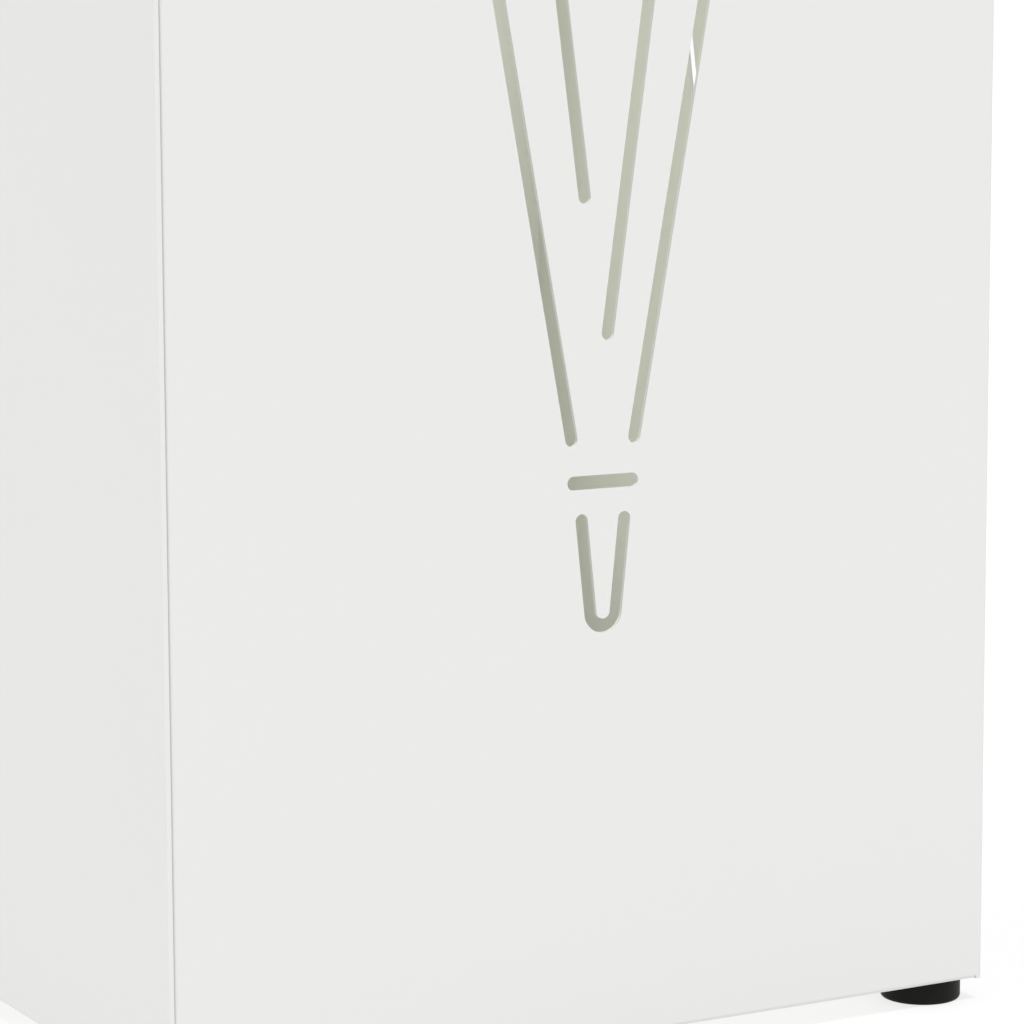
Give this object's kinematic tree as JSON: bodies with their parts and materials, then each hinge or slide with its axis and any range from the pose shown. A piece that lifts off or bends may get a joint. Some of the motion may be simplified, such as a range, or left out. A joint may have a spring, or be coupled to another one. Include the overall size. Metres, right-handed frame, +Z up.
{
  "type": "umbrella stand",
  "caption": "Square white sheet-steel umbrella stand, open at the top, with a closed umbrella cut through its walls, hooks over the rim, a lift-out drip tray and small black feet.",
  "frame": {"origin": "on the floor, under the middle of the square column", "axes": "+Z up, the patterned front wall faces -Y and the second patterned wall faces +X"},
  "size_m": [0.1584, 0.1584, 0.4867],
  "materials": {
    "white_paint": "satin white powder coat",
    "hook_paint": "satin white powder coat",
    "foot_plastic": "matt black moulded",
    "tray_plastic": "fine-grained light grey moulded",
    "zinc_steel": "bright zinc plated"
  },
  "bodies": {
    "stand": {"patterned_sheet": "white_paint", "plain_sheet": "white_paint", "base_plate": "white_paint", "foot_front_left": "foot_plastic", "foot_front_right": "foot_plastic", "foot_rear_right": "foot_plastic", "foot_rear_left": "foot_plastic", "foot_screws": "zinc_steel", "foot_washers": "zinc_steel", "foot_nuts": "zinc_steel"},
    "tray": {"drip_tray": "tray_plastic"},
    "front_hook": {"hook_front": "hook_paint"},
    "right_hook": {"hook_right": "hook_paint"},
    "rear_hook": {"hook_rear": "hook_paint"},
    "left_hook": {"hook_left": "hook_paint"}
  },
  "joints": [
    {"name": "tray_lift", "type": "slide", "parent": "stand", "child": "tray", "axis": [0, 0, 1], "range_m": [0, 0.39]},
    {"name": "front_hook_lift", "type": "slide", "parent": "stand", "child": "front_hook", "axis": [0, 0, 1], "range_m": [0, 0.065]},
    {"name": "right_hook_lift", "type": "slide", "parent": "stand", "child": "right_hook", "axis": [0, 0, 1], "range_m": [0, 0.065]},
    {"name": "rear_hook_lift", "type": "slide", "parent": "stand", "child": "rear_hook", "axis": [0, 0, 1], "range_m": [0, 0.065]},
    {"name": "left_hook_lift", "type": "slide", "parent": "stand", "child": "left_hook", "axis": [0, 0, 1], "range_m": [0, 0.065]}
  ]
}
